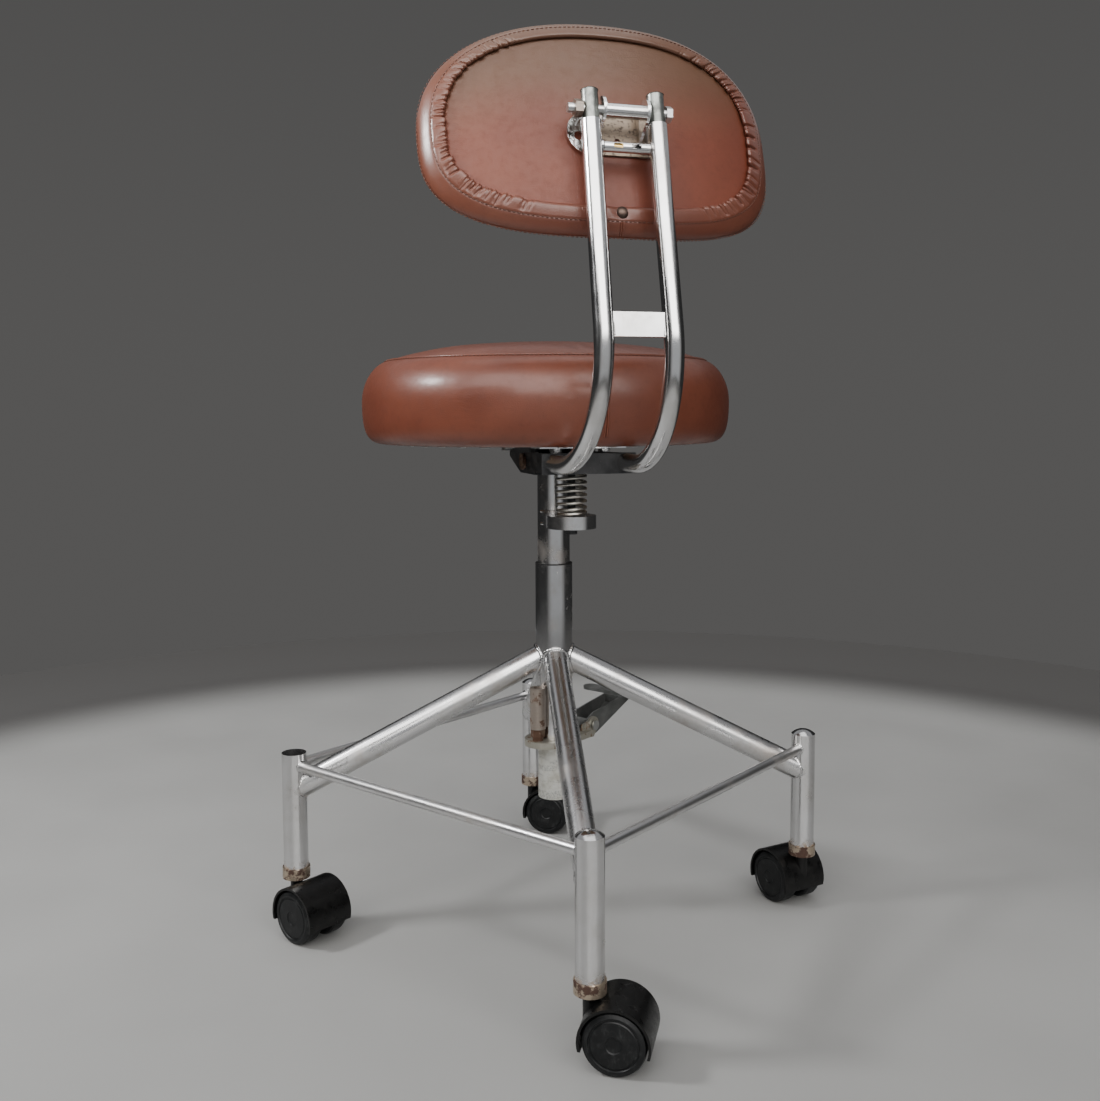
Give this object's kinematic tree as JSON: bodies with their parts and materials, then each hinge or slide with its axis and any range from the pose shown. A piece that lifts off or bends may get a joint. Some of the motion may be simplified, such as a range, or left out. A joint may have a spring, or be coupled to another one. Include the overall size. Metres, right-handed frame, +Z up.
{
  "type": "drafting chair",
  "caption": "Swivelling drafting chair with a round padded seat, a spring-loaded padded back on bent chrome tubes, a gas lift with foot pedal and a tube base on twin-wheel casters.",
  "frame": {"origin": "on the floor, on the axis of the central column", "axes": "+Z up along the column; +Y towards the backrest; +X to the sitter's left"},
  "size_m": [0.5788, 0.6024, 0.8713],
  "materials": {
    "chrome": "polished, slightly stained",
    "stained_steel": "rust stained",
    "steel": "dull",
    "spring_steel": "oiled",
    "dark_paint": "satin, worn",
    "label_sleeve": "satin, blank",
    "black_plastic": "satin",
    "wheel_plastic": "scuffed",
    "brass": "aged",
    "plywood": "raw",
    "vinyl": "satin grained vinyl",
    "vinyl_panel": "satin grained vinyl"
  },
  "bodies": {
    "base": {"column_tube": "chrome", "leg_tubes": "chrome", "corner_posts": "chrome", "open_post": "chrome", "post_caps": "chrome", "ferrules": "stained_steel", "stretcher_rods": "chrome", "gas_cylinder": "steel", "cylinder_sleeve": "label_sleeve", "pedal_bracket": "stained_steel", "guide_sleeve": "stained_steel", "adjusting_bolt": "stained_steel", "pedal_pin": "steel", "pedal_spring": "spring_steel", "column_bush": "black_plastic"},
    "pedal": {"pedal_lever": "dark_paint"},
    "lift": {"gas_rod": "steel", "gas_piston": "steel", "thrust_washer": "brass"},
    "seat": {"seat_post": "chrome", "post_plug": "steel", "clamp_plate": "chrome", "spring_rod": "spring_steel", "recline_spring": "spring_steel", "mechanism_channel": "dark_paint", "seat_plate": "chrome", "seat_bolts": "steel", "recline_axle": "steel", "seat_base": "plywood", "seat_cushion": "vinyl"},
    "back": {"back_carrier": "dark_paint", "back_tube_left": "chrome", "back_tube_right": "chrome", "tube_inserts": "steel", "mid_cross_plate": "chrome", "stop_tube": "chrome", "stop_pin": "brass", "pad_bolt": "steel", "pad_nut": "stained_steel"},
    "pad": {"spacer_tube": "chrome", "pad_bracket": "chrome", "pad_board": "vinyl_panel", "back_pad": "vinyl", "button_stud": "steel"},
    "caster_rear": {"caster_hood_rear": "black_plastic", "caster_spindle_rear": "steel"},
    "wheel_rear_a": {"wheel_rear_a": "wheel_plastic"},
    "wheel_rear_b": {"wheel_rear_b": "wheel_plastic"},
    "caster_right": {"caster_hood_right": "black_plastic", "caster_spindle_right": "steel"},
    "wheel_right_a": {"wheel_right_a": "wheel_plastic"},
    "wheel_right_b": {"wheel_right_b": "wheel_plastic"},
    "caster_front": {"caster_hood_front": "black_plastic", "caster_spindle_front": "steel"},
    "wheel_front_a": {"wheel_front_a": "wheel_plastic"},
    "wheel_front_b": {"wheel_front_b": "wheel_plastic"},
    "caster_left": {"caster_hood_left": "black_plastic", "caster_spindle_left": "steel"},
    "wheel_left_a": {"wheel_left_a": "wheel_plastic"},
    "wheel_left_b": {"wheel_left_b": "wheel_plastic"}
  },
  "joints": [
    {"name": "pedal_press", "type": "hinge", "parent": "base", "child": "pedal", "pos_m": [-0.03965, -0.02705, 0.199], "axis": [0.5635, -0.8261, 0], "range_deg": [0, 8], "stiffness_Nm_per_rad": 2, "springref_deg": -20.05},
    {"name": "seat_lift", "type": "slide", "parent": "base", "child": "lift", "axis": [0, 0, 1], "range_m": [-0.03, 0.09]},
    {"name": "seat_swivel", "type": "hinge", "parent": "lift", "child": "seat", "pos_m": [0, 0, 0.4], "axis": [0, 0, 1], "continuous": true},
    {"name": "back_recline", "type": "hinge", "parent": "seat", "child": "back", "pos_m": [0, 0.026, 0.484], "axis": [-1, 0, 0], "range_deg": [0, 10], "stiffness_Nm_per_rad": 80, "springref_deg": -17.19, "deforming": ["recline_spring"]},
    {"name": "pad_tilt", "type": "hinge", "parent": "back", "child": "pad", "pos_m": [0, 0.20619, 0.782], "axis": [-1, 0, 0], "range_deg": [-1, 14]},
    {"name": "caster_swivel_rear", "type": "hinge", "parent": "base", "child": "caster_rear", "pos_m": [0.04976, 0.26334, 0.06], "axis": [0, 0, 1], "continuous": true},
    {"name": "wheel_spin_rear_a", "type": "hinge", "parent": "caster_rear", "child": "wheel_rear_a", "pos_m": [0.02897, 0.27534, 0.027], "axis": [-0.5, -0.866, 0], "continuous": true},
    {"name": "wheel_spin_rear_b", "type": "hinge", "parent": "caster_rear", "child": "wheel_rear_b", "pos_m": [0.02897, 0.27534, 0.027], "axis": [-0.5, -0.866, 0], "continuous": true},
    {"name": "caster_swivel_right", "type": "hinge", "parent": "base", "child": "caster_right", "pos_m": [-0.26334, 0.04976, 0.06], "axis": [0, 0, 1], "continuous": true},
    {"name": "wheel_spin_right_a", "type": "hinge", "parent": "caster_right", "child": "wheel_right_a", "pos_m": [-0.25835, 0.02628, 0.027], "axis": [0.9781, 0.2079, 0], "continuous": true},
    {"name": "wheel_spin_right_b", "type": "hinge", "parent": "caster_right", "child": "wheel_right_b", "pos_m": [-0.25835, 0.02628, 0.027], "axis": [0.9781, 0.2079, 0], "continuous": true},
    {"name": "caster_swivel_front", "type": "hinge", "parent": "base", "child": "caster_front", "pos_m": [-0.04976, -0.26334, 0.06], "axis": [0, 0, 1], "continuous": true},
    {"name": "wheel_spin_front_a", "type": "hinge", "parent": "caster_front", "child": "wheel_front_a", "pos_m": [-0.07054, -0.25134, 0.027], "axis": [-0.5, -0.866, 0], "continuous": true},
    {"name": "wheel_spin_front_b", "type": "hinge", "parent": "caster_front", "child": "wheel_front_b", "pos_m": [-0.07054, -0.25134, 0.027], "axis": [-0.5, -0.866, 0], "continuous": true},
    {"name": "caster_swivel_left", "type": "hinge", "parent": "base", "child": "caster_left", "pos_m": [0.26334, -0.04976, 0.06], "axis": [0, 0, 1], "continuous": true},
    {"name": "wheel_spin_left_a", "type": "hinge", "parent": "caster_left", "child": "wheel_left_a", "pos_m": [0.25027, -0.02963, 0.027], "axis": [-0.8387, -0.5446, 0], "continuous": true},
    {"name": "wheel_spin_left_b", "type": "hinge", "parent": "caster_left", "child": "wheel_left_b", "pos_m": [0.25027, -0.02963, 0.027], "axis": [-0.8387, -0.5446, 0], "continuous": true}
  ]
}
